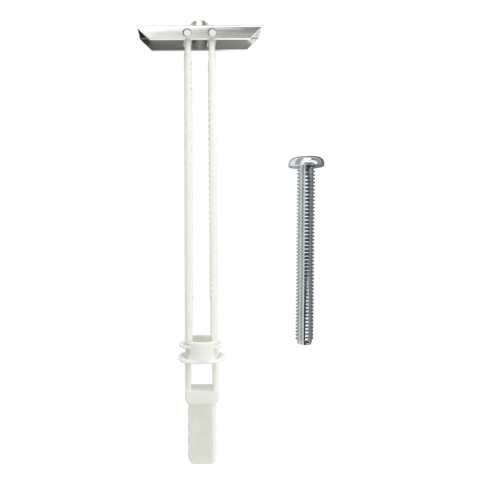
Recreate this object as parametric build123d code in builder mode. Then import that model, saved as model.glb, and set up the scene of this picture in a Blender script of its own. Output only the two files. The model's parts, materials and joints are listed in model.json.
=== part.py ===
from build123d import *
from math import atan2, cos, degrees, sin
import os

# Hollow-wall strap toggle anchor, lying beside the machine screw that it takes.
# Both pieces are modelled with +Y along their length, towards the toggle or the screw's
# head, X across and Z up, and are then laid down on the ground, Z = 0. On the anchor,
# Y = 0 is a place on the straps from which its heights are counted. Millimetres.

# Machine screw, 1/4-20 by 2-1/2 inch, with a pan head
screw_diameter = 6.35
screw_length = 63.5
screw_tip_chamfer = 0.7
head_diameter = 12.3
head_height = 3.7
head_crown = 0.45
head_round = 2.4
head_edge_chamfer = 0.3
recess_span = 6.6
recess_width = 1.5
recess_depth = 2.4
recess_taper = 12.0
slot_width = 1.3
slot_depth = 1.1

# Toggle: a short steel channel, folded from one sheet
sheet = 1.0
channel_width = 9.0
channel_height = 5.05
channel_length = 43.8
channel_edge_length = 34.8
channel_bend = 1.2
channel_end_height = 0.6
channel_corner = 0.3
web_height = 74.4
collar_height = 2.15
collar_base_diameter = 7.4
collar_tip_diameter = 6.5
collar_tip_chamfer = 0.3
collar_bore_diameter = 5.2
collar_bore_chamfer = 0.3

# Straps, and the pins that carry the toggle
strap_radius = 6.05
strap_end_radius = 5.7
strap_inner_face = 3.2
strap_depth = 6.6
strap_outer_round = 0.7
strap_inner_round = 0.45
shoulder_length = 2.4
neck_length = 4.4
neck_outer_face = 5.25
pin_spacing = 8.6
pin_diameter = 2.5
pin_eye_diameter = 3.0
pin_below_web = 3.05
pin_proud = 0.2
pin_end_chamfer = 0.2

# Ratchet teeth on the straps' facing sides
tooth_count = 39
tooth_pitch = 2.2
tooth_height = 0.35
tooth_steep_run = 0.35
tooth_crest = 0.45
tooth_ramp = 1.1
tooth_depth = 5.2
tooth_below_shoulder = 1.05
tooth_root = 0.1

# Thinner straps between the cap and the block
window_inner_face = 3.8
window_top = -39.0

# Block that joins the straps, and the pull grip under it
block_top = -52.6
block_height = 3.0
block_width = 11.9
block_depth = 6.9
block_edge_round = 0.7
notch_below_top = 1.0
notch_width = 1.3
notch_depth = 0.75
taper_length = 3.1
taper_end_round = 1.5
grip_bottom = -78.0
grip_depth = 6.4
grip_width = 8.7
grip_edge_round = 1.9
grip_end_round = 1.5
bulge_count = 4
bulge_pitch = 4.8
bulge_height = 0.75
valley_round = 0.4

# Sliding cap: its neck goes into the hole in the wall and its flange stays outside
neck_diameter = 12.4
neck_wall = 1.1
rim_height = -35.1
rim_chamfer = 0.25
cup_depth = 2.5
cup_floor = 1.3
bolt_passage_diameter = 7.0
ear_span = 16.0
ear_end_radius = 5.1
ear_thickness = 0.9
ear_below_rim = 1.55
flange_span = 16.8
flange_depth = 13.0
flange_corner = 5.6
flange_thickness = 1.05
flange_underside = -42.25
flange_edge_chamfer = 0.3
skirt_height = 1.7
skirt_foot_diameter = 12.9

# Running clearances, and where the pins' play leaves the toggle
pin_clearance = 0.3
strap_clearance = 0.1
toggle_play_across = -0.15
toggle_play_along = 0.15

# How far the screw lies from the anchor's line, and the height at which its head starts
screw_beside_anchor = 37.4
screw_head_start = 25.6

# Heights and faces that follow from the sizes above
edge_height = web_height - channel_height
web_inner_face = web_height - sheet
collar_top = web_height + collar_height
pin_height = web_height - pin_below_web
tooth_tip = strap_inner_face - tooth_height
shoulder_top = pin_height - neck_length
shoulder_height = shoulder_top - shoulder_length
first_tooth_height = shoulder_height - tooth_below_shoulder
flange_top = flange_underside + flange_thickness
cup_floor_top = rim_height - cup_depth
ear_top = rim_height - ear_below_rim
block_bottom = block_top - block_height
grip_top = block_bottom - taper_length
bulge_radius = ((bulge_pitch / 2) ** 2 + bulge_height**2) / (2 * bulge_height)
last_valley = grip_top - (bulge_count - 1) * bulge_pitch
last_bulge = last_valley - bulge_pitch / 2
grip_corner = last_bulge - grip_bottom
strap_foot = block_top - notch_below_top

# The anchor leans on the cap's flange and on the ends of its pins
flange_contact = flange_top - flange_edge_chamfer
pin_contact = pin_height + pin_diameter / 2 - pin_end_chamfer
pin_end = channel_width / 2 + pin_proud
anchor_tilt = atan2(flange_depth / 2 - pin_end, pin_contact - flange_contact)
anchor_lift = flange_contact * sin(anchor_tilt) + flange_depth / 2 * cos(anchor_tilt)

# The screw leans on the edge of its head and on its tip
head_contact = head_edge_chamfer
tip_contact = screw_tip_chamfer - screw_length
screw_tilt = atan2((head_diameter - screw_diameter) / 2, head_contact - tip_contact)
screw_lift = head_diameter / 2 * cos(screw_tilt) - head_contact * sin(screw_tilt)

# The origin is under the middle of the anchor and the screw together
middle_across = (screw_beside_anchor + head_diameter / 2 - channel_length / 2) / 2
middle_along = (collar_top + grip_bottom) / 2
anchor_at_rest = Location(
    (-middle_across, -middle_along, anchor_lift), (-degrees(anchor_tilt), 0, 0)
)
toggle_at_rest = anchor_at_rest * Location((toggle_play_across, toggle_play_along, 0))
screw_at_rest = Location(
    (screw_beside_anchor - middle_across, screw_head_start - middle_along, screw_lift),
    (degrees(screw_tilt), 0, 0),
)


def across(height):
    """The plane across a piece at a height, facing the toggle or the screw's head."""
    return Plane(origin=(0, height, 0), x_dir=(1, 0, 0), z_dir=(0, 1, 0))


def both_sides(points):
    """Draws a closed outline on the +X side and its mirror image on the other."""
    Polygon(*points, align=None)
    Polygon(*[(-x, y) for x, y in reversed(points)], align=None)


def strap_section(side, radius, inner_face):
    """One strap's D-shaped section: the back round, the faces flat. The side is 1 or -1."""
    with BuildSketch(mode=Mode.PRIVATE) as section:
        Circle(radius)
        Rectangle(2 * radius, strap_depth, mode=Mode.INTERSECT)
        with Locations((side * (inner_face + radius), 0)):
            Rectangle(2 * radius, strap_depth, mode=Mode.INTERSECT)
        corners = section.vertices()
        fillet(corners.filter_by(lambda v: abs(v.X) > inner_face + 1), strap_outer_round)
        corners = section.vertices()
        fillet(corners.filter_by(lambda v: abs(v.X) < inner_face + 0.01), strap_inner_round)
    return section.sketch


def strap_slots(outer_radius):
    """Openings that the straps and their teeth slide through."""
    Circle(outer_radius)
    Rectangle(2 * outer_radius, strap_depth + 2 * strap_clearance, mode=Mode.INTERSECT)
    Rectangle(2 * (tooth_tip - strap_clearance), 2 * outer_radius, mode=Mode.SUBTRACT)


# Toggle channel: the flanges are cut back towards their free edges
with BuildPart() as toggle_channel:
    with BuildSketch(Plane.YZ):
        with BuildLine():
            FilletPolyline(
                (edge_height, -channel_width / 2),
                (web_height, -channel_width / 2),
                (web_height, channel_width / 2),
                (edge_height, channel_width / 2),
                radius=channel_bend,
            )
            offset(amount=sheet, side=Side.LEFT)
        make_face()
    extrude(amount=channel_length / 2, both=True)
    with BuildSketch(Plane.XY) as slanted_ends:
        with BuildLine():
            Polyline(
                (-channel_length / 2, web_height - channel_end_height),
                (-channel_length / 2, web_height),
                (channel_length / 2, web_height),
                (channel_length / 2, web_height - channel_end_height),
                (channel_edge_length / 2, edge_height),
                (-channel_edge_length / 2, edge_height),
                close=True,
            )
        make_face()
        fillet(slanted_ends.vertices(), channel_corner)
    extrude(amount=channel_width, both=True, mode=Mode.INTERSECT)
    with BuildSketch(Plane.XY):
        with Locations((-pin_spacing / 2, pin_height), (pin_spacing / 2, pin_height)):
            Circle(pin_diameter / 2 + pin_clearance)
    extrude(amount=channel_width, both=True, mode=Mode.SUBTRACT)
    # Drawn collar, tapped for the screw, on the side away from the wall
    with BuildSketch(Plane.XY) as collar_profile:
        with BuildLine():
            Polyline(
                (0, web_height - sheet / 2),
                (collar_base_diameter / 2, web_height - sheet / 2),
                (collar_base_diameter / 2, web_height),
                (collar_tip_diameter / 2, collar_top),
                (0, collar_top),
                close=True,
            )
        make_face()
        tip_corners = collar_profile.vertices().group_by(Axis.Y)[-1]
        chamfer(tip_corners.sort_by(Axis.X)[-1], collar_tip_chamfer)
    revolve(axis=Axis.Y)
    with BuildSketch(Plane.XY):
        with BuildLine():
            Polyline(
                (0, web_inner_face),
                (collar_bore_diameter / 2 + collar_bore_chamfer, web_inner_face),
                (collar_bore_diameter / 2, web_inner_face + collar_bore_chamfer),
                (collar_bore_diameter / 2, collar_top),
                (0, collar_top),
                close=True,
            )
        make_face()
    revolve(axis=Axis.Y, mode=Mode.SUBTRACT)

# Pull grip: a bar of rounded section with scalloped sides and a rounded end
with BuildPart() as pull_grip:
    side = grip_width / 2
    widest = side + bulge_height
    with BuildSketch(across(grip_bottom)):
        RectangleRounded(2 * widest, grip_depth, grip_edge_round)
    extrude(amount=block_bottom - grip_bottom)
    with BuildSketch(Plane.XY) as grip_outline:
        with BuildLine():
            Line((0, block_bottom), (side, block_bottom))
            Line((side, block_bottom), (side, grip_top))
            for bulge in range(bulge_count - 1):
                start = grip_top - bulge * bulge_pitch
                RadiusArc((side, start), (side, start - bulge_pitch), bulge_radius)
            # The last bulge runs straight into the grip's round corner
            RadiusArc((side, last_valley), (widest, last_bulge), bulge_radius)
            corner_end = (widest - grip_corner, grip_bottom)
            RadiusArc((widest, last_bulge), corner_end, grip_corner)
            Line(corner_end, (0, grip_bottom))
            mirror(about=Plane.YZ)
        make_face()
        valleys = grip_outline.vertices().filter_by(
            lambda v: last_valley - 0.01 < v.Y < grip_top - 0.01 and abs(v.X) < side + 0.01
        )
        fillet(valleys, valley_round)
    extrude(amount=grip_depth, both=True, mode=Mode.INTERSECT)
    with BuildSketch(Plane.YZ) as grip_side_view:
        with Locations(((block_bottom + grip_bottom) / 2, 0)):
            Rectangle(block_bottom - grip_bottom, grip_depth)
        fillet(grip_side_view.vertices().group_by(Axis.Y)[0], grip_end_round)
    extrude(amount=grip_width, both=True, mode=Mode.INTERSECT)

# Straps, block, grip and pins: one moulding
with BuildPart() as strap_moulding:
    for side in (1, -1):
        with BuildSketch(across(window_top)):
            add(strap_section(side, strap_radius, strap_inner_face))
        with BuildSketch(across(pin_height)):
            add(strap_section(side, strap_end_radius, strap_inner_face))
        loft()
        with BuildSketch(across(window_top)):
            add(strap_section(side, strap_radius, window_inner_face))
        extrude(amount=strap_foot - window_top)
    # Each strap steps in to a slimmer neck under the channel
    with BuildSketch(Plane.XY):
        both_sides(
            [
                (strap_radius, shoulder_height),
                (2 * strap_radius, shoulder_height),
                (2 * strap_radius, pin_height + 1),
                (neck_outer_face, pin_height + 1),
                (neck_outer_face, shoulder_top),
            ]
        )
    extrude(amount=strap_depth, both=True, mode=Mode.SUBTRACT)
    with BuildSketch(Plane.XY):
        with Locations((-pin_spacing / 2, pin_height), (pin_spacing / 2, pin_height)):
            Circle(pin_eye_diameter / 2)
    extrude(amount=strap_depth / 2, both=True)
    with BuildSketch(Plane.XY):
        with Locations((-pin_spacing / 2, pin_height), (pin_spacing / 2, pin_height)):
            Circle(pin_diameter / 2)
    extrude(amount=pin_end, both=True)
    end_faces = strap_moulding.faces().filter_by(lambda f: abs(abs(f.center().Z) - pin_end) < 0.01)
    chamfer(end_faces.edges(), pin_end_chamfer)
    # Teeth: steep towards the toggle, sloping towards the grip
    tooth = [
        (strap_inner_face + tooth_root, 0),
        (strap_inner_face, 0),
        (tooth_tip, -tooth_steep_run),
        (tooth_tip, -tooth_steep_run - tooth_crest),
        (strap_inner_face, -tooth_steep_run - tooth_crest - tooth_ramp),
        (strap_inner_face + tooth_root, -tooth_steep_run - tooth_crest - tooth_ramp),
    ]
    tooth_tops = [first_tooth_height - n * tooth_pitch for n in range(tooth_count)]
    with BuildSketch(Plane.XY):
        with Locations(*[(0, top) for top in tooth_tops]):
            both_sides(tooth)
    extrude(amount=tooth_depth / 2, both=True)
    with BuildSketch(across(block_top)):
        RectangleRounded(block_width, block_depth, block_edge_round)
    extrude(amount=-block_height)
    with BuildSketch(across(block_bottom)):
        RectangleRounded(block_width, block_depth, block_edge_round)
    with BuildSketch(across(grip_top)):
        RectangleRounded(grip_width, grip_depth, taper_end_round)
    loft()
    add(pull_grip.part)
    # Hinge grooves, where the straps' feet bend against the block
    with BuildSketch(Plane.XY):
        both_sides(
            [
                (2 * strap_radius, strap_foot + notch_width),
                (strap_radius, strap_foot + notch_width / 2),
                (strap_radius - notch_depth, strap_foot),
                (strap_radius, strap_foot - notch_width / 2),
                (2 * strap_radius, strap_foot - notch_width),
            ]
        )
    extrude(amount=block_depth, both=True, mode=Mode.SUBTRACT)

# Sliding cap: neck, cup, side ears and flange
with BuildPart() as slide_cap:
    with BuildSketch(across(flange_underside)):
        RectangleRounded(flange_span, flange_depth, flange_corner)
    extrude(amount=flange_thickness)
    chamfer(slide_cap.faces().filter_by(Axis.Y).edges(), flange_edge_chamfer)
    with BuildSketch(across(flange_underside)):
        Circle(neck_diameter / 2)
    extrude(amount=rim_height - flange_underside)
    chamfer(slide_cap.faces().sort_by(Axis.Y)[-1].edges(), rim_chamfer)
    with BuildSketch(across(flange_top)):
        Circle(skirt_foot_diameter / 2)
    with BuildSketch(across(flange_top + skirt_height)):
        Circle(neck_diameter / 2)
    loft()
    with BuildSketch(across(ear_top)):
        with Locations((ear_end_radius - ear_span / 2, 0), (ear_span / 2 - ear_end_radius, 0)):
            Circle(ear_end_radius)
    extrude(amount=-ear_thickness)
    with BuildSketch(across(rim_height)):
        Circle(neck_diameter / 2 - neck_wall)
    extrude(amount=-cup_depth, mode=Mode.SUBTRACT)
    with BuildSketch(across(flange_underside)):
        Circle(neck_diameter / 2 - neck_wall)
    extrude(amount=cup_floor_top - cup_floor - flange_underside, mode=Mode.SUBTRACT)
    with BuildSketch(across(flange_underside)):
        strap_slots(strap_radius + strap_clearance)
    extrude(amount=rim_height - flange_underside, mode=Mode.SUBTRACT)
    with BuildSketch(across(flange_top)):
        strap_slots(neck_diameter)
    extrude(amount=ear_top - ear_thickness - flange_top, mode=Mode.SUBTRACT)
    with BuildSketch(across(ear_top)):
        strap_slots(neck_diameter)
    extrude(amount=cup_depth, mode=Mode.SUBTRACT)
    with BuildSketch(across(cup_floor_top)):
        Circle(bolt_passage_diameter / 2)
    extrude(amount=-2 * cup_floor, mode=Mode.SUBTRACT)

# Machine screw: plain shank at the thread's outer size, pan head with a combined recess
with BuildPart() as machine_screw:
    with BuildSketch(Plane.XY) as screw_profile:
        with BuildLine():
            Polyline(
                (0, head_height),
                (0, -screw_length),
                (screw_diameter / 2 - screw_tip_chamfer, -screw_length),
                (screw_diameter / 2, screw_tip_chamfer - screw_length),
                (screw_diameter / 2, 0),
                (head_diameter / 2 - head_edge_chamfer, 0),
                (head_diameter / 2, head_edge_chamfer),
                (head_diameter / 2, head_height - head_crown),
                close=True,
            )
        make_face()
        corner = screw_profile.vertices().filter_by(
            lambda v: v.X > head_diameter / 2 - 0.01 and v.Y > head_edge_chamfer + 0.01
        )
        fillet(corner, head_round)
    revolve(axis=Axis.Y)
    with BuildSketch(across(head_height)):
        Rectangle(recess_span, recess_width)
        Rectangle(recess_width, recess_span)
    extrude(amount=-recess_depth, taper=recess_taper, mode=Mode.SUBTRACT)
    with BuildSketch(across(head_height)):
        Rectangle(head_diameter, slot_width)
    extrude(amount=-slot_depth, mode=Mode.SUBTRACT)

toggle_channel.part.move(toggle_at_rest)
toggle_channel.part.label = "toggle_channel"
strap_moulding.part.move(anchor_at_rest)
strap_moulding.part.label = "strap_moulding"
slide_cap.part.move(anchor_at_rest)
slide_cap.part.label = "slide_cap"
machine_screw.part.move(screw_at_rest)
machine_screw.part.label = "machine_screw"

os.makedirs("parts", exist_ok=True)
export_step(toggle_channel.part, "parts/toggle_channel.step")
export_step(strap_moulding.part, "parts/strap_moulding.step")
export_step(slide_cap.part, "parts/slide_cap.step")
export_step(machine_screw.part, "parts/machine_screw.step")
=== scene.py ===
"""A strap toggle anchor for hollow walls and its machine screw: finishes and a plain stage."""

import json
import math

import bmesh
import bpy
from bpy.props import FloatProperty, FloatVectorProperty, IntProperty, PointerProperty
from mathutils import Matrix, Vector


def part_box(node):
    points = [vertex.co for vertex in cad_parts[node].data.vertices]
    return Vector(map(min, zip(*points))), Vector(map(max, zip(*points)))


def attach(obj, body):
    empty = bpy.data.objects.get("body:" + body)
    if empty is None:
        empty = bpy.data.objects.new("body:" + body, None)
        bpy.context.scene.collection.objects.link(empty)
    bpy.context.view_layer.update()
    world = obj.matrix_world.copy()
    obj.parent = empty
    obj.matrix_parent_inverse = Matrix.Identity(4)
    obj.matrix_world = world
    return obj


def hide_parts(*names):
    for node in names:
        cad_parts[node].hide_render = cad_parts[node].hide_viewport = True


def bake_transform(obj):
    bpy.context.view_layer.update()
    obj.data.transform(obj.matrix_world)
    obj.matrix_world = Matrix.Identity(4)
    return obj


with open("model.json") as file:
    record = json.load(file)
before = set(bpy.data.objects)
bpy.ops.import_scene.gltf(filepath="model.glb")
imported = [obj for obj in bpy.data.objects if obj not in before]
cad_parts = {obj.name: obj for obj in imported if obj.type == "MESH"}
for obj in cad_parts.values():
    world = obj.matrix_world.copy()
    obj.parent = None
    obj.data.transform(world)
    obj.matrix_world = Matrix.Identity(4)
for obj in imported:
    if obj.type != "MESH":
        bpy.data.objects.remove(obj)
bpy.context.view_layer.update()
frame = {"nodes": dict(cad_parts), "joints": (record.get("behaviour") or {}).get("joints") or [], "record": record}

bl_info = {
    "name": "Strap toggle anchor",
    "version": (1, 0, 0),
    "blender": (4, 5, 0),
    "location": "3D View > Sidebar > Anchor",
    "description": "Finishes of a strap toggle anchor and its machine screw, with a plain stage",
    "category": "Object",
}

MM = 0.001

# Places on the anchor, in metres: across it, along it towards the toggle, and up
PIVOT_ON_ANCHOR = Vector((-0.15, 71.5, 0.0)) * MM
NECK_BEND_START = Vector((0.0, 61.0, 0.0)) * MM
NECK_BEND_END = Vector((0.0, 70.0, 0.0)) * MM
NECK_CUTS = 12

# The toggle's flanges: where they start to curve in, where the bend starts, its radius, how far
# from the middle its sheared ends are, and how far the channel's inside goes up from the middle
FLANGE_FLAT_END = 71.0 * MM
FLANGE_STRIPS = 5
BEND_START = 73.2 * MM
BEND = 1.2 * MM
CUT_BEYOND = 10 * MM
INSIDE_HALF = 3.6 * MM

# The tapped bore in the toggle's collar, and how far its thread stands in from the bore
BORE_RADIUS = 2.6 * MM
BORE = (73.7 * MM, 76.5 * MM)
TAPPED_DEPTH = 0.28 * MM

# The straps' pins show beyond this height over the anchor's middle plane, and this far along it.
# Each end has a shallow mark, this far in from its rim
PIN_END = 4.4 * MM
PINS_FROM = 69.0 * MM
PIN_MARK_IN = 0.8 * MM
PIN_MARK_DEPTH = 0.06 * MM

# The ratchet teeth end this far from the middle, sideways and up
TOOTH_ROOT = 3.33 * MM
TOOTH_HALF = 2.65 * MM

# Where the cap's skirt meets its neck, and how near a point counts as there
SKIRT_TOP = -39.5 * MM
SAME_PLACE = 0.02 * MM

# The grip's broad faces start here. Their plastic is a darker copy of the straps' plastic:
# painted shade
GRIP_FROM = -56.9 * MM

# The screw's shank, and how far its core goes on into the head
SHANK_LENGTH = 63.5 * MM
CORE_END = 1.0 * MM

# Light from the sky on matt surfaces, and what gloss alone sees in it, painted reflections that light nothing: a
# white softbox beyond the grey ceiling, a white panel before it, two windows in the dark room, and the room's far
# end
SKY_LIGHT = 0.6
SOFTBOX_REFLECTION = 2.0
PANEL_REFLECTION = 2.2
WINDOW_REFLECTION = 2.9
WIDE_WINDOW_REFLECTION = 1.6
DARK_ROOM_REFLECTION = 0.05
ROOM_END_REFLECTION = 0.55

# The lamps: name, place, size and power
LAMPS = (
    ("key_lamp", (0.46, 0.02, 0.26), 0.30, 0.9),
    ("fill_lamp", (-0.02, 0.48, 0.22), 0.30, 1.25),
)


def axes_at(origin, across, along, up):
    """A matrix that takes a point in a piece's own frame to the row's frame."""
    turn = Matrix((across, along, up)).transposed().to_4x4()
    return Matrix.Translation(origin) @ turn


def anchor_frame():
    """The anchor's own frame: +X across it, +Y along it to the toggle, +Z up."""
    joints = {joint["name"]: joint for joint in frame["joints"]}
    along = Vector(joints["cap_slide"]["axis"]).normalized()
    up = Vector(joints["toggle_pivot"]["axis"]).normalized()
    across = along.cross(up)
    pivot = Vector(joints["toggle_pivot"]["pos_m"])
    turned = axes_at(Vector((0, 0, 0)), across, along, up)
    return axes_at(pivot - turned @ PIVOT_ON_ANCHOR, across, along, up)


def screw_frame():
    """The screw's own frame: the origin under its head, +Y along it to the head's top."""
    mounts = {mount["name"]: mount for mount in frame["record"]["mounts"]}
    shank = mounts["screw_shank"]
    along = -Vector(shank["axis"]).normalized()
    across = Vector((1, 0, 0))
    middle = Vector(shank["pos_m"])
    return axes_at(middle + along * SHANK_LENGTH / 2, across, along, across.cross(along))


ANCHOR = anchor_frame()
SCREW = screw_frame()


class PlasticSettings(bpy.types.PropertyGroup):
    """The moulded plastic of the straps and the cap."""

    colour: FloatVectorProperty(
        name="Colour", description="Milky plastic", subtype="COLOR", size=3,
        min=0, max=1, default=(0.945, 0.955, 0.86),
    )
    roughness: FloatProperty(
        name="Roughness", description="How dull the plastic is", subtype="FACTOR",
        min=0, max=1, default=0.42,
    )
    edge_round: FloatProperty(
        name="Edge round", description="Radius of the moulding's sharp edges",
        subtype="DISTANCE", unit="LENGTH", min=0, default=0.00012,
    )
    depth: FloatProperty(
        name="Light depth", description="How far light goes into the plastic",
        subtype="DISTANCE", unit="LENGTH", min=0, default=0.002,
    )


class SteelSettings(bpy.types.PropertyGroup):
    """The brushed steel of the toggle."""

    colour: FloatVectorProperty(
        name="Colour", description="Bare steel", subtype="COLOR", size=3,
        min=0, max=1, default=(0.66, 0.66, 0.63),
    )
    roughness: FloatProperty(
        name="Roughness", description="How dull the sheet is", subtype="FACTOR",
        min=0, max=1, default=0.16,
    )
    edge_round: FloatProperty(
        name="Edge round", description="Radius of the sheet's cut edges",
        subtype="DISTANCE", unit="LENGTH", min=0, default=0.00005,
    )
    draw_in: FloatProperty(
        name="Draw-in", description="How far the flanges have come in where the bend starts",
        subtype="DISTANCE", unit="LENGTH", min=0, default=0.000088,
    )


class ScrewSettings(bpy.types.PropertyGroup):
    """The machine screw's thread and its zinc."""

    colour: FloatVectorProperty(
        name="Colour", description="Bright zinc", subtype="COLOR", size=3,
        min=0, max=1, default=(0.74, 0.77, 0.79),
    )
    roughness: FloatProperty(
        name="Roughness", description="How dull the zinc is", subtype="FACTOR",
        min=0, max=1, default=0.09,
    )
    thread_radius: FloatProperty(
        name="Thread radius", description="At the thread's crest",
        subtype="DISTANCE", unit="LENGTH", min=0, default=3.175 * MM,
    )
    core_radius: FloatProperty(
        name="Core radius", description="At the thread's root",
        subtype="DISTANCE", unit="LENGTH", min=0, default=2.45 * MM,
    )
    pitch: FloatProperty(
        name="Pitch", description="From one turn to the next",
        subtype="DISTANCE", unit="LENGTH", min=0, default=1.27 * MM,
    )
    steps: IntProperty(
        name="Steps", description="Faces round one turn", min=12, default=48,
    )


class StageSettings(bpy.types.PropertyGroup):
    """The camera, the lamps and the floor."""

    distance: FloatProperty(
        name="Camera distance", description="From the anchor's middle plane",
        subtype="DISTANCE", unit="LENGTH", min=0, default=140 * MM,
    )
    beside: FloatProperty(
        name="Camera beside", description="From the anchor's line, across it",
        subtype="DISTANCE", unit="LENGTH", default=-0.95 * MM,
    )
    roll: FloatProperty(
        name="Camera roll", description="Turn about the line of sight",
        subtype="ANGLE", unit="ROTATION", default=math.radians(-0.35),
    )
    lens: FloatProperty(
        name="Lens", description="Focal length on a 36 mm sensor", min=1, default=29.48,
    )
    shift: FloatProperty(
        name="Shift", description="Sideways shift of the view, in image widths",
        default=0.0866,
    )


def thread_numbers(tree, names):
    """Adds a number input to the tree for each name and default, and gives their sockets."""
    for name, kind, default in names:
        socket = tree.interface.new_socket(name, in_out="INPUT", socket_type=kind)
        if default is not None:
            socket.default_value = default
    inputs = tree.nodes.new("NodeGroupInput")
    return {name: inputs.outputs[name] for name, kind, default in names}


def calculate(tree, operation, *values, clamp=False):
    """One Math node. A value is a socket or a plain number."""
    node = tree.nodes.new("ShaderNodeMath")
    node.operation = operation
    node.use_clamp = clamp
    for socket, value in zip(node.inputs, values):
        if isinstance(value, bpy.types.NodeSocket):
            tree.links.new(value, socket)
        else:
            socket.default_value = value
    return node.outputs[0]


def thread_tree():
    """A helical ridge about +Y that rises from Start: a grid of turns, wound up and welded."""
    tree = bpy.data.node_groups.new("Helical ridge", "GeometryNodeTree")
    tree.is_modifier = True
    tree.interface.new_socket("Ridge", in_out="OUTPUT", socket_type="NodeSocketGeometry")
    number, count = "NodeSocketFloat", "NodeSocketInt"
    given = thread_numbers(
        tree,
        [
            ("Crest Radius", number, 3.0 * MM),
            ("Root Radius", number, 2.5 * MM),
            ("Pitch", number, 1.27 * MM),
            ("Start", number, 0.0),
            ("Turns", count, 10),
            ("Steps", count, 48),
            ("Root Share", number, 0.125),
            ("Crest Share", number, 0.125),
            ("Run-in Turns", number, 0.5),
            ("Tip Radius", number, 3.0 * MM),
            ("Material", "NodeSocketMaterial", None),
        ],
    )
    nodes, links = tree.nodes, tree.links
    grid = nodes.new("GeometryNodeMeshGrid")
    grid.inputs["Size X"].default_value = 1
    grid.inputs["Size Y"].default_value = 1
    grid.inputs["Vertices Y"].default_value = 17
    steps = calculate(tree, "MULTIPLY", given["Turns"], given["Steps"])
    links.new(calculate(tree, "ADD", steps, 1), grid.inputs["Vertices X"])
    split = nodes.new("ShaderNodeSeparateXYZ")
    links.new(nodes.new("GeometryNodeInputPosition").outputs[0], split.inputs[0])
    turn = calculate(tree, "ADD", split.outputs[0], 0.5)
    turn = calculate(tree, "MULTIPLY", turn, given["Turns"])
    share = calculate(tree, "ADD", split.outputs[1], 0.5)
    angle = calculate(tree, "MULTIPLY", turn, 2 * math.pi)
    rise = calculate(tree, "MULTIPLY", calculate(tree, "ADD", turn, share), given["Pitch"])
    # The ridge's section: flat root, straight flanks, flat crest
    from_root = calculate(tree, "PINGPONG", share, 0.5)
    root_half = calculate(tree, "MULTIPLY", given["Root Share"], 0.5)
    crest_half = calculate(tree, "MULTIPLY", given["Crest Share"], 0.5)
    flank = calculate(
        tree, "SUBTRACT", calculate(tree, "SUBTRACT", 0.5, root_half), crest_half
    )
    height = calculate(
        tree, "DIVIDE", calculate(tree, "SUBTRACT", from_root, root_half), flank, clamp=True
    )
    run_in = calculate(tree, "DIVIDE", turn, given["Run-in Turns"], clamp=True)
    depth = calculate(tree, "SUBTRACT", given["Crest Radius"], given["Root Radius"])
    proud = calculate(tree, "MULTIPLY", calculate(tree, "MULTIPLY", height, run_in), depth)
    radius = calculate(tree, "ADD", given["Root Radius"], proud)
    limit = calculate(tree, "ADD", given["Tip Radius"], rise)
    radius = calculate(tree, "MINIMUM", radius, limit)
    place = nodes.new("ShaderNodeCombineXYZ")
    sine, cosine = calculate(tree, "SINE", angle), calculate(tree, "COSINE", angle)
    links.new(calculate(tree, "MULTIPLY", radius, sine), place.inputs[0])
    links.new(calculate(tree, "ADD", rise, given["Start"]), place.inputs[1])
    links.new(calculate(tree, "MULTIPLY", radius, cosine), place.inputs[2])
    wind = nodes.new("GeometryNodeSetPosition")
    links.new(grid.outputs["Mesh"], wind.inputs["Geometry"])
    links.new(place.outputs[0], wind.inputs["Position"])
    weld = nodes.new("GeometryNodeMergeByDistance")
    weld.inputs["Distance"].default_value = 0.002 * MM
    links.new(wind.outputs[0], weld.inputs[0])
    real = nodes.new("GeometryNodeRealizeInstances")
    links.new(weld.outputs[0], real.inputs[0])
    finish = nodes.new("GeometryNodeSetMaterial")
    links.new(real.outputs[0], finish.inputs["Geometry"])
    links.new(given["Material"], finish.inputs["Material"])
    links.new(finish.outputs[0], nodes.new("NodeGroupOutput").inputs[0])
    return tree


def made_by_tree(tree, values):
    """The plain mesh that a Geometry Nodes tree makes with these named inputs."""
    maker = bpy.data.objects.new("maker", bpy.data.meshes.new("maker"))
    bpy.context.scene.collection.objects.link(maker)
    modifier = maker.modifiers.new("Shape", "NODES")
    modifier.node_group = tree
    for item in tree.interface.items_tree:
        if item.item_type == "SOCKET" and item.in_out == "INPUT" and item.name in values:
            modifier[item.identifier] = values[item.name]
    mesh = evaluated_mesh(maker)
    maker.modifiers.clear()
    bpy.data.objects.remove(maker)
    return mesh


def evaluated_mesh(obj):
    """The object's mesh with its modifiers applied, as a mesh of its own."""
    bpy.context.view_layer.update()
    graph = bpy.context.evaluated_depsgraph_get()
    return bpy.data.meshes.new_from_object(obj.evaluated_get(graph), depsgraph=graph)


def welded_copy(node):
    """A CAD node's mesh in a bmesh of its own: its triangles welded, its flat faces whole."""
    shape = bmesh.new()
    shape.from_mesh(frame["nodes"][node].data)
    bmesh.ops.remove_doubles(shape, verts=shape.verts, dist=0.001 * MM)
    bmesh.ops.dissolve_limit(
        shape,
        angle_limit=math.radians(0.3),
        verts=shape.verts,
        edges=shape.edges,
    )
    return shape


def cut_across(shape, heights, where=Matrix()):
    """Cuts the faces straight across the anchor at these heights along it."""
    for height in heights:
        bmesh.ops.bisect_plane(
            shape,
            geom=shape.verts[:] + shape.edges[:] + shape.faces[:],
            plane_co=where @ Vector((0, height, 0)),
            plane_no=where.col[1].to_3d(),
        )


def new_piece(name, mesh, *materials):
    """An object for a finished mesh, in the scene and with its materials."""
    piece = bpy.data.objects.new(name, mesh)
    mesh.name = name
    bpy.context.scene.collection.objects.link(piece)
    for material in materials:
        mesh.materials.append(material)
    return piece


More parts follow.
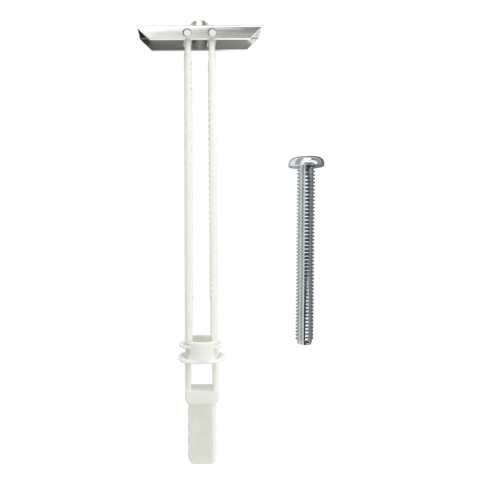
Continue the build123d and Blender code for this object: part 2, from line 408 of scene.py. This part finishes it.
def finished(piece, radius=0.0, segments=2, angle=35, leave=None, crisp=None):
    """Rounds the piece's sharp edges and gives it smooth shading that keeps flat faces flat.

    leave tells which edges stay as they are; crisp is a height along the anchor where even
    a slight edge stays crisp.
    """
    if radius:
        shape = bmesh.new()
        shape.from_mesh(piece.data)
        weights = shape.edges.layers.float.new("bevel_weight_edge")
        for edge in shape.edges:
            sharp = edge.is_manifold and edge.calc_face_angle(0) > math.radians(angle)
            edge[weights] = 1.0 if sharp and not (leave and leave(edge)) else 0.0
        shape.to_mesh(piece.data)
        shape.free()
        bevel = piece.modifiers.new("Round", "BEVEL")
        bevel.width = radius
        bevel.segments = segments
        bevel.limit_method = "WEIGHT"
        mesh = evaluated_mesh(piece)
        old = piece.data
        piece.modifiers.clear()
        piece.data = mesh
        bpy.data.meshes.remove(old)
        mesh.name = piece.name
    settle_normals(piece.data, math.cos(math.radians(angle)), crisp)
    return piece


def settle_normals(mesh, limit, crisp=None):
    """Corner normals from the faces that meet smoothly there, the larger ones counting most."""
    mesh.shade_smooth()
    on_anchor = ANCHOR.inverted()
    normals = [face.normal.copy() for face in mesh.polygons]
    weights = [face.area ** 1.5 + 1e-15 for face in mesh.polygons]
    around = [[] for vertex in mesh.vertices]
    for face in mesh.polygons:
        for vertex in face.vertices:
            around[vertex].append(face.index)
    above = []
    if crisp is not None:
        above = [(on_anchor @ face.center).y > crisp for face in mesh.polygons]
    corners = [None] * len(mesh.loops)
    for face in mesh.polygons:
        for corner, vertex in zip(face.loop_indices, face.vertices):
            total = Vector((0, 0, 0))
            split = crisp is not None and (
                abs((on_anchor @ mesh.vertices[vertex].co).y - crisp) < SAME_PLACE
            )
            for other in around[vertex]:
                if normals[other].dot(normals[face.index]) < limit:
                    continue
                if split and above[other] != above[face.index]:
                    continue
                total += normals[other] * weights[other]
            corners[corner] = total.normalized()
    mesh.normals_split_custom_set(corners)


def new_material(name):
    """A material with nothing but its shader and output, and that shader."""
    material = bpy.data.materials.new(name)
    material.use_nodes = True
    return material, material.node_tree, material.node_tree.nodes["Principled BSDF"]


def pattern_place(tree, scale):
    """Object coordinates, stretched by a scale along each axis."""
    place = tree.nodes.new("ShaderNodeTexCoord")
    stretch = tree.nodes.new("ShaderNodeMapping")
    stretch.inputs["Scale"].default_value = scale
    tree.links.new(place.outputs["Object"], stretch.inputs["Vector"])
    return stretch.outputs[0]


def noise(tree, place, scale, detail=3.0, roughness=0.5):
    """A noise pattern's grey value."""
    node = tree.nodes.new("ShaderNodeTexNoise")
    node.inputs["Scale"].default_value = scale
    node.inputs["Detail"].default_value = detail
    node.inputs["Roughness"].default_value = roughness
    tree.links.new(place, node.inputs["Vector"])
    return node.outputs["Fac"]


def ramp(tree, value, low, high, start=0.3, end=0.7):
    """A colour between low and high as the value goes from start to end."""
    node = tree.nodes.new("ShaderNodeValToRGB")
    node.color_ramp.elements[0].position = start
    node.color_ramp.elements[1].position = end
    node.color_ramp.elements[0].color = (*low, 1)
    node.color_ramp.elements[1].color = (*high, 1)
    tree.links.new(value, node.inputs[0])
    return node.outputs[0]


def between(tree, value, start, end, low, high):
    """A number that goes smoothly from low to high as the value goes from start to end."""
    node = tree.nodes.new("ShaderNodeMapRange")
    node.interpolation_type = "SMOOTHSTEP"
    for key, given in (
        ("Value", value),
        ("From Min", start),
        ("From Max", end),
        ("To Min", low),
        ("To Max", high),
    ):
        if isinstance(given, bpy.types.NodeSocket):
            tree.links.new(given, node.inputs[key])
        else:
            node.inputs[key].default_value = given
    return node.outputs["Result"]


def bump(tree, height, distance, strength=1.0, under=None):
    """A Bump node's normal, over another one's if given."""
    node = tree.nodes.new("ShaderNodeBump")
    node.inputs["Distance"].default_value = distance
    node.inputs["Strength"].default_value = strength
    tree.links.new(height, node.inputs["Height"])
    if under is not None:
        tree.links.new(under, node.inputs["Normal"])
    return node.outputs[0]


def scaled(colour, factor):
    """A colour made lighter or darker."""
    return tuple(min(1.0, part * factor) for part in colour)


def milky_plastic(name, settings, depth=None, tone=(1.0, 1.0, 1.0)):
    """Moulded plastic: milky, faintly clouded, with a fine satin grain."""
    material, tree, shader = new_material(name)
    cloud = noise(tree, pattern_place(tree, (1, 1, 1)), 260, 3)
    # A tone below one makes a darker copy of the plastic; the grip's darker copy is painted shade
    colour = tuple(part * tint for part, tint in zip(settings.colour, tone))
    tint = ramp(tree, cloud, scaled(colour, 0.965), scaled(colour, 1.02))
    tree.links.new(tint, shader.inputs["Base Color"])
    shader.inputs["Roughness"].default_value = settings.roughness
    shader.inputs["Subsurface Weight"].default_value = 1.0
    shader.inputs["Subsurface Radius"].default_value = (1.0, 1.0, 1.0)
    shader.inputs["Subsurface Scale"].default_value = depth or settings.depth
    shader.inputs["IOR"].default_value = 1.5
    grain = noise(tree, pattern_place(tree, (1, 1, 1)), 5200, 2)
    waves = noise(tree, pattern_place(tree, (1, 0.35, 1)), 420, 2)
    normal = bump(tree, waves, 0.05 * MM, 0.6)
    tree.links.new(bump(tree, grain, 0.006 * MM, 0.5, normal), shader.inputs["Normal"])
    return material


def brushed_steel(name, settings, dulled=0.0):
    """Steel sheet with the mill's streaks along the channel, duller where it isn't rubbed."""
    material, tree, shader = new_material(name)
    shader.inputs["Metallic"].default_value = 1.0
    place = pattern_place(tree, (0.03, 1, 1))
    streak = noise(tree, place, 2600, 4, 0.6)
    cloud = noise(tree, pattern_place(tree, (0.4, 1, 1)), 160, 2)
    colour = tuple(settings.colour)
    tint = ramp(tree, streak, scaled(colour, 0.9), scaled(colour, 1.06), 0.35, 0.65)
    tree.links.new(tint, shader.inputs["Base Color"])
    dull = settings.roughness + dulled
    dull = ramp(tree, cloud, [dull - 0.05] * 3, [dull + 0.06] * 3)
    tree.links.new(dull, shader.inputs["Roughness"])
    tree.links.new(bump(tree, streak, 0.012 * MM, 0.7), shader.inputs["Normal"])
    return material


def cut_steel_painted_highlight(name, settings):
    """The sheet's sheared edges, with short marks through the thickness, and a colour raised far above the sheet's
    as a painted highlight along the rims.
    """
    material, tree, shader = new_material(name)
    shader.inputs["Metallic"].default_value = 1.0
    marks = noise(tree, pattern_place(tree, (1, 1, 0.2)), 3000, 2)
    # Painted highlight: the edges' colour is the sheet's made 1.42 times brighter
    colour = scaled(tuple(settings.colour), 1.42)
    tree.links.new(ramp(tree, marks, scaled(colour, 0.93), colour), shader.inputs["Base Color"])
    shader.inputs["Roughness"].default_value = 0.26
    tree.links.new(bump(tree, marks, 0.01 * MM, 0.5), shader.inputs["Normal"])
    return material


def bright_zinc(name, settings):
    """Zinc plate: bright, faintly blue, a little uneven."""
    material, tree, shader = new_material(name)
    shader.inputs["Metallic"].default_value = 1.0
    cloud = noise(tree, pattern_place(tree, (1, 1, 1)), 300, 3)
    colour = tuple(settings.colour)
    tint = ramp(tree, cloud, scaled(colour, 0.94), scaled(colour, 1.05))
    tree.links.new(tint, shader.inputs["Base Color"])
    low, high = settings.roughness - 0.03, settings.roughness + 0.05
    tree.links.new(ramp(tree, cloud, [low] * 3, [high] * 3), shader.inputs["Roughness"])
    ripple = noise(tree, pattern_place(tree, (1, 1, 1)), 900, 2)
    tree.links.new(bump(tree, ripple, 0.01 * MM, 0.5), shader.inputs["Normal"])
    return material


class ANCHOR_OT_toggle_channel(bpy.types.Operator):
    """The steel channel, its edges rounded, with the thread in its collar"""

    bl_idname = "anchor.toggle_channel"
    bl_label = "Toggle channel"

    def execute(self, context):
        steel = context.scene.anchor_steel
        shape = welded_copy("toggle_channel")
        bmesh.ops.transform(shape, matrix=ANCHOR.inverted(), verts=shape.verts)
        self.draw_in(shape, steel)
        self.mark_cuts(shape)
        self.tap_collar(shape, context.scene.anchor_screw)
        bmesh.ops.transform(shape, matrix=ANCHOR, verts=shape.verts)
        mesh = bpy.data.meshes.new("channel_sheet")
        shape.to_mesh(mesh)
        shape.free()
        piece = new_piece(
            "channel_sheet",
            mesh,
            brushed_steel("toggle_steel_sheet", steel),
            cut_steel_painted_highlight("toggle_steel_cut_painted_highlight", steel),
            brushed_steel("toggle_steel_inside", steel, 0.02),
        )
        finished(piece, steel.edge_round)
        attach(piece, "toggle")
        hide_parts("toggle_channel")
        return {"FINISHED"}

    def draw_in(self, shape, steel):
        """Both flanges curve in a little towards the bend, as folded sheet does."""
        outside = max(vert.co.z for vert in shape.verts if vert.co.y < FLANGE_FLAT_END)
        reach = BEND_START - FLANGE_FLAT_END
        steps = FLANGE_STRIPS
        knots = [FLANGE_FLAT_END + reach * step / steps for step in range(steps + 1)]
        cut_across(shape, knots)
        slope = 2 * steel.draw_in / reach
        drops = [slope * reach * (step / steps) ** 2 / 2 for step in range(steps + 1)]
        for vert in shape.verts:
            if vert.co.y <= knots[0]:
                continue
            step = min(int((vert.co.y - knots[0]) / reach * steps + 1e-4), steps - 1)
            share = (vert.co.y - knots[step]) / (reach / steps)
            drop = drops[step] + (drops[step + 1] - drops[step]) * min(share, 1.0)
            drop += slope * max(vert.co.y - BEND_START, 0)
            hold = (abs(vert.co.z) - (outside - BEND)) / BEND
            vert.co.z -= math.copysign(drop * min(max(hold, 0), 1), vert.co.z)

    def tap_collar(self, shape, screw):
        """Adds the tapped thread's ridge inside the collar's bore."""
        low, high = BORE
        ridge = bmesh.new()
        made = made_by_tree(
            thread_tree(),
            {
                "Crest Radius": BORE_RADIUS - TAPPED_DEPTH,
                "Root Radius": BORE_RADIUS + 0.02 * MM,
                "Pitch": screw.pitch,
                "Start": low - screw.pitch,
                "Turns": math.ceil((high - low) / screw.pitch),
                "Steps": screw.steps,
                "Tip Radius": 2 * BORE_RADIUS,
            },
        )
        ridge.from_mesh(made)
        for place, side in ((low, -1), (high, 1)):
            bmesh.ops.bisect_plane(
                ridge,
                geom=ridge.verts[:] + ridge.edges[:] + ridge.faces[:],
                plane_co=(0, place, 0),
                plane_no=(0, side, 0),
                clear_outer=True,
            )
        for face in ridge.faces:
            middle = face.calc_center_median()
            if face.normal.dot(Vector((middle.x, 0, middle.z))) > 0:
                face.normal_flip()
        ridge.to_mesh(made)
        ridge.free()
        shape.from_mesh(made)
        bpy.data.meshes.remove(made)

    def mark_cuts(self, shape):
        """Gives the sheared faces the second material and the channel's inside the third."""
        for face in shape.faces:
            middle, normal = face.calc_center_median(), face.normal
            free_edge = normal.y < -0.9 and middle.y < FLANGE_FLAT_END - 0.5 * MM
            slanted_end = abs(normal.x) > 0.3 and abs(middle.x) > CUT_BEYOND
            pin_hole = abs(normal.z) < 0.3 and middle.y < BEND_START and abs(middle.x) < CUT_BEYOND
            inside = abs(middle.z) < INSIDE_HALF and middle.y < BEND_START + 0.3 * MM
            if free_edge or slanted_end or pin_hole:
                # The sheared faces and the pin holes' walls take the brightened edge steel: painted highlight
                face.material_index = 1
            elif inside:
                face.material_index = 2


class ANCHOR_OT_strap_moulding(bpy.types.Operator):
    """The straps, block and grip, with short faces across the necks where they bend"""

    bl_idname = "anchor.strap_moulding"
    bl_label = "Strap moulding"

    def execute(self, context):
        plastic = context.scene.anchor_plastic
        shape = welded_copy("strap_moulding")
        on_anchor = ANCHOR.inverted()
        # The necks get short faces where they bend
        bend = NECK_BEND_END - NECK_BEND_START
        cuts = [NECK_BEND_START.y + bend.y * step / NECK_CUTS for step in range(NECK_CUTS + 1)]
        cut_across(shape, [GRIP_FROM, *cuts], ANCHOR)
        for face in shape.faces:
            middle = on_anchor @ face.calc_center_median()
            if abs(middle.z) > PIN_END and middle.y > PINS_FROM:
                face.material_index = 1
            # The grip's broad faces take the third material, the darker copy of the plastic: painted shade
            elif middle.y < GRIP_FROM and abs(face.normal.z) > 0.95:
                face.material_index = 2
        ends = [
            face
            for face in shape.faces
            if face.material_index == 1 and abs(face.normal.z) > 0.99 and len(face.verts) > 12
        ]
        bmesh.ops.inset_individual(
            shape, faces=ends, thickness=PIN_MARK_IN, depth=-PIN_MARK_DEPTH
        )
        mesh = bpy.data.meshes.new("straps_and_grip")
        shape.to_mesh(mesh)
        shape.free()
        piece = new_piece(
            "straps_and_grip",
            mesh,
            milky_plastic("strap_plastic", plastic),
            milky_plastic("pin_plastic", plastic, 0.4 * MM, (0.90, 0.90, 0.96)),
            # Painted shade: the grip's plastic is the same plastic in a darker tone
            milky_plastic("grip_plastic_painted_shade", plastic, 2 * MM, (0.89, 0.89, 0.88)),
        )
        finished(piece, plastic.edge_round, leave=self.on_teeth)
        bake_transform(piece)
        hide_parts("strap_moulding")
        return {"FINISHED"}

    def on_teeth(self, edge):
        """Whether an edge belongs to the ratchet teeth, which stay crisp."""
        on_anchor = ANCHOR.inverted()
        ends = [on_anchor @ vert.co for vert in edge.verts]
        return all(abs(end.x) < TOOTH_ROOT and abs(end.z) < TOOTH_HALF for end in ends)


class ANCHOR_OT_slide_cap(bpy.types.Operator):
    """The sliding cap"""

    bl_idname = "anchor.slide_cap"
    bl_label = "Sliding cap"

    def execute(self, context):
        plastic = context.scene.anchor_plastic
        shape = welded_copy("slide_cap")
        mesh = bpy.data.meshes.new("sliding_cap")
        shape.to_mesh(mesh)
        shape.free()
        piece = new_piece("sliding_cap", mesh, milky_plastic("cap_plastic", plastic))
        finished(piece, plastic.edge_round, crisp=SKIRT_TOP)
        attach(piece, "cap")
        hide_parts("slide_cap")
        return {"FINISHED"}


class ANCHOR_OT_machine_screw(bpy.types.Operator):
    """The machine screw: its head, its core and its thread"""

    bl_idname = "anchor.machine_screw"
    bl_label = "Machine screw"

    def execute(self, context):
        screw = context.scene.anchor_screw
        zinc = bright_zinc("screw_zinc", screw)
        turns = math.ceil(SHANK_LENGTH / screw.pitch)
        ridge = made_by_tree(
            thread_tree(),
            {
                "Crest Radius": screw.thread_radius,
                "Root Radius": screw.core_radius - 0.01 * MM,
                "Pitch": screw.pitch,
                "Start": -SHANK_LENGTH,
                "Turns": turns,
                "Steps": screw.steps,
                "Tip Radius": screw.core_radius,
                "Material": zinc,
            },
        )
        shape = bmesh.new()
        shape.from_mesh(ridge)
        bmesh.ops.recalc_face_normals(shape, faces=shape.faces)
        bmesh.ops.create_cone(
            shape,
            cap_ends=True,
            segments=64,
            radius1=screw.core_radius,
            radius2=screw.core_radius,
            depth=SHANK_LENGTH + CORE_END,
            matrix=Matrix.Translation((0, (CORE_END - SHANK_LENGTH) / 2, 0))
            @ Matrix.Rotation(math.radians(90), 4, "X"),
        )
        bmesh.ops.transform(shape, matrix=SCREW, verts=shape.verts)
        self.add_head(shape)
        mesh = bpy.data.meshes.new("screw")
        shape.to_mesh(mesh)
        shape.free()
        piece = new_piece("screw", mesh, zinc)
        finished(piece)
        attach(piece, "root")
        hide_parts("machine_screw")
        return {"FINISHED"}

    def add_head(self, shape):
        """Adds the solid's head, closed across the shank."""
        head = welded_copy("machine_screw")
        under = SCREW.inverted()
        shank = [
            face
            for face in head.faces
            if (under @ face.calc_center_median()).y < -0.01 * MM
        ]
        bmesh.ops.delete(head, geom=shank, context="FACES")
        rim = [edge for edge in head.edges if edge.is_boundary]
        bmesh.ops.holes_fill(head, edges=rim)
        mesh = bpy.data.meshes.new("head")
        head.to_mesh(mesh)
        head.free()
        shape.from_mesh(mesh)
        bpy.data.meshes.remove(mesh)


class ANCHOR_OT_stage(bpy.types.Operator):
    """The floor, the lamps and the camera"""

    bl_idname = "anchor.stage"
    bl_label = "Stage"

    def execute(self, context):
        self.floor(context)
        self.world(context)
        self.lamps(context)
        self.camera(context)
        context.scene.view_settings.view_transform = "Standard"
        return {"FINISHED"}

    def floor(self, context):
        """A white floor that keeps the shadow and shows white to camera, and in the gloss white with painted
        reflections.
        """
        half = 3.0
        mesh = bpy.data.meshes.new("floor")
        corners = [(-half, -half, 0), (half, -half, 0), (half, half, 0), (-half, half, 0)]
        mesh.from_pydata(corners, [], [(0, 1, 2, 3)])
        material = bpy.data.materials.new("white_floor")
        material.use_nodes = True
        tree = material.node_tree
        tree.nodes.clear()
        ray = tree.nodes.new("ShaderNodeLightPath")
        matt = tree.nodes.new("ShaderNodeBsdfDiffuse")
        camera_ray, in_gloss = ray.outputs["Is Camera Ray"], ray.outputs["Is Glossy Ray"]
        bounce = between(tree, in_gloss, 0, 1, 0.88, 0.0)
        tree.links.new(between(tree, camera_ray, 0, 1, bounce, 0.12), matt.inputs["Color"])
        # Painted reflections, seen by gloss alone: there the floor is white, with grey under the toggle's left
        # half and left of the screw, nearly black beyond the toggle's left end, dark right of the screw, and
        # brighter than white towards the right before the toggle
        place = tree.nodes.new("ShaderNodeSeparateXYZ")
        tree.links.new(tree.nodes.new("ShaderNodeTexCoord").outputs["Object"], place.inputs[0])
        across, along = place.outputs[0], place.outputs[1]
        left_end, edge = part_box("toggle_channel")[0][0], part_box("toggle_channel")[0][1]
        screw_middle = SCREW.translation.x
        under = between(tree, across, -6 * MM, 1 * MM, 0.42, 1.0)
        before = between(tree, across, -12 * MM, 5 * MM, 0.95, 1.18)
        before = between(tree, along, edge - 25 * MM, edge - 15 * MM, 1.0, before)
        painted_reflection = between(tree, along, edge - 2.5 * MM, edge - 1 * MM, before, under)
        painted_reflection = between(tree, across, 14 * MM, 18 * MM, painted_reflection, 0.38)
        painted_reflection = between(tree, across, left_end + 1 * MM, left_end + 4 * MM, 0.02, painted_reflection)
        painted_reflection = between(tree, across, left_end - 1.5 * MM, left_end - 0.5 * MM, 0.8, painted_reflection)
        painted_reflection = between(tree, across, screw_middle, screw_middle + 3 * MM, painted_reflection, 0.2)
        painted_reflection = between(tree, along, edge + 8 * MM, edge + 11 * MM, painted_reflection, 0.85)
        white = tree.nodes.new("ShaderNodeEmission")
        seen = calculate(tree, "MAXIMUM", camera_ray, ray.outputs["Is Transmission Ray"])
        in_gloss = calculate(tree, "MULTIPLY", in_gloss, painted_reflection)
        seen = calculate(tree, "MAXIMUM", calculate(tree, "MULTIPLY", seen, 0.96), in_gloss)
        tree.links.new(seen, white.inputs["Strength"])
        both = tree.nodes.new("ShaderNodeAddShader")
        tree.links.new(matt.outputs[0], both.inputs[0])
        tree.links.new(white.outputs[0], both.inputs[1])
        output = tree.nodes.new("ShaderNodeOutputMaterial")
        tree.links.new(both.outputs[0], output.inputs["Surface"])
        floor = new_piece("floor", mesh, material)

    def world(self, context):
        """An even sky for matt surfaces, and for gloss alone painted reflections of softboxes and the room round
        them.
        """
        world = bpy.data.worlds.new("Studio")
        context.scene.world = world
        world.use_nodes = True
        tree = world.node_tree
        sky = tree.nodes["Background"]
        sky.inputs["Color"].default_value = (1, 1, 1, 1)
        direction = tree.nodes.new("ShaderNodeSeparateXYZ")
        tree.links.new(
            tree.nodes.new("ShaderNodeTexCoord").outputs["Generated"], direction.inputs[0]
        )
        height = calculate(tree, "MAXIMUM", direction.outputs[2], 0.001)
        aside = calculate(tree, "DIVIDE", direction.outputs[0], height)
        along = calculate(tree, "DIVIDE", direction.outputs[1], height)
        # Painted reflection, seen by gloss alone: a grey ceiling, darker to the right, with a white softbox beyond
        # it
        ceiling = between(tree, aside, -0.12, 0.10, 0.92, 0.47)
        shade = between(tree, aside, 0.02, 0.13, 1.0, 0.5)
        shaded = calculate(tree, "MULTIPLY", ceiling, shade)
        ceiling = between(tree, along, 0.57, 0.72, ceiling, shaded)
        edge = calculate(tree, "SUBTRACT", along, aside)
        softbox_reflection = between(tree, edge, 0.66, 0.73, ceiling, SOFTBOX_REFLECTION)
        softbox_reflection = between(tree, along, 3.0, 6.0, softbox_reflection, 0.45)
        # Painted reflection: a white panel before the ceiling, lower where the toggle mirrors it
        sideways = calculate(tree, "ABSOLUTE", aside)
        panel_end = between(tree, sideways, 0.17, 0.3, 0.43, 0.56)
        past_panel = calculate(tree, "SUBTRACT", along, panel_end)
        panel = between(tree, past_panel, -0.05, 0.01, PANEL_REFLECTION, softbox_reflection)
        # Painted reflection: the dark room behind the camera, with a window for the toggle's right end
        window_reflection = self.patch(tree, (aside, 0.07, 0.24), (along, -0.68, -0.42), soft=0.03)
        dark = between(tree, window_reflection, 0, 1, DARK_ROOM_REFLECTION, WINDOW_REFLECTION)
        # Painted reflection: a wider window that the thread mirrors near the screw's tip
        slanted = calculate(tree, "ADD", along, calculate(tree, "MULTIPLY", aside, 0.12))
        wide_window_reflection = self.patch(tree, (aside, 0.24, 1.3), (slanted, -0.74, -0.47), soft=0.03)
        dark = between(tree, wide_window_reflection, 0, 1, dark, WIDE_WINDOW_REFLECTION)
        behind = between(tree, aside, 0.25, 0.4, ROOM_END_REFLECTION, DARK_ROOM_REFLECTION)
        dark = between(tree, along, -1.5, -1.0, behind, dark)
        middle = between(tree, along, 0.10, 0.15, dark, panel)
        # Painted reflection: a white wall at the left and a grey one at the right
        with_left = between(tree, aside, -0.42, -0.62, middle, 1.1)
        with_far_left = between(tree, aside, -1.0, -1.4, with_left, 0.45)
        narrowed = between(tree, along, 0.45, 0.55, 0.45, 1.0)
        right = calculate(tree, "MULTIPLY", aside, narrowed)
        painted_reflection = between(tree, right, 0.5, 0.8, with_far_left, 0.36)
        ray = tree.nodes.new("ShaderNodeLightPath").outputs
        seen = between(tree, ray["Is Glossy Ray"], 0, 1, SKY_LIGHT, painted_reflection)
        tree.links.new(
            between(tree, ray["Is Camera Ray"], 0, 1, seen, 1.0), sky.inputs["Strength"]
        )

    def patch(self, tree, *spans, soft):
        """1 where each value is inside its span, 0 outside, with soft sides."""
        inside = 1.0
        for value, low, high in spans:
            inside = between(tree, value, low - soft, low, 0, inside)
            inside = between(tree, value, high, high + soft, inside, 0)
        return inside

    def lamps(self, context):
        """A broad lamp at the right and one beyond the toggle, both left out of the gloss."""
        target = ANCHOR @ Vector((0, 0, 0))
        for name, place, size, power in LAMPS:
            data = bpy.data.lights.new(name, "AREA")
            data.shape = "SQUARE"
            data.size = size
            data.energy = power
            lamp = bpy.data.objects.new(name, data)
            lamp.location = place
            aim = target - Vector(place)
            lamp.rotation_euler = aim.to_track_quat("-Z", "Y").to_euler()
            lamp.visible_glossy = False
            context.scene.collection.objects.link(lamp)

    def camera(self, context):
        """Straight over the lying anchor, as the photograph faces the upright one."""
        stage = context.scene.anchor_stage
        data = bpy.data.cameras.new("camera")
        data.sensor_width = 36
        data.lens = stage.lens
        data.shift_x = stage.shift
        data.clip_start = 0.01
        camera = bpy.data.objects.new("camera", data)
        camera.matrix_world = (
            ANCHOR
            @ Matrix.Translation((stage.beside, 0, stage.distance))
            @ Matrix.Rotation(stage.roll, 4, "Z")
        )
        context.scene.collection.objects.link(camera)
        context.scene.camera = camera


OPERATORS = (
    ANCHOR_OT_toggle_channel,
    ANCHOR_OT_strap_moulding,
    ANCHOR_OT_slide_cap,
    ANCHOR_OT_machine_screw,
    ANCHOR_OT_stage,
)
SETTINGS = (
    ("anchor_plastic", PlasticSettings),
    ("anchor_steel", SteelSettings),
    ("anchor_screw", ScrewSettings),
    ("anchor_stage", StageSettings),
)


class ANCHOR_PT_panel(bpy.types.Panel):
    """Lists the pieces and their settings"""

    bl_label = "Strap toggle anchor"
    bl_idname = "ANCHOR_PT_panel"
    bl_space_type = "VIEW_3D"
    bl_region_type = "UI"
    bl_category = "Anchor"

    def draw(self, context):
        for name, group in SETTINGS:
            box = self.layout.box()
            settings = getattr(context.scene, name)
            for key in group.__annotations__:
                box.prop(settings, key)
        for operator in OPERATORS:
            self.layout.operator(operator.bl_idname)


def register():
    for name, group in SETTINGS:
        bpy.utils.register_class(group)
        setattr(bpy.types.Scene, name, PointerProperty(type=group))
    for operator in OPERATORS:
        bpy.utils.register_class(operator)
    bpy.utils.register_class(ANCHOR_PT_panel)


def unregister():
    bpy.utils.unregister_class(ANCHOR_PT_panel)
    for operator in reversed(OPERATORS):
        bpy.utils.unregister_class(operator)
    for name, group in reversed(SETTINGS):
        delattr(bpy.types.Scene, name)
        bpy.utils.unregister_class(group)


def main():
    register()
    bpy.ops.anchor.toggle_channel()
    bpy.ops.anchor.strap_moulding()
    bpy.ops.anchor.slide_cap()
    bpy.ops.anchor.machine_screw()
    bpy.ops.anchor.stage()


if __name__ == "__main__":
    main()
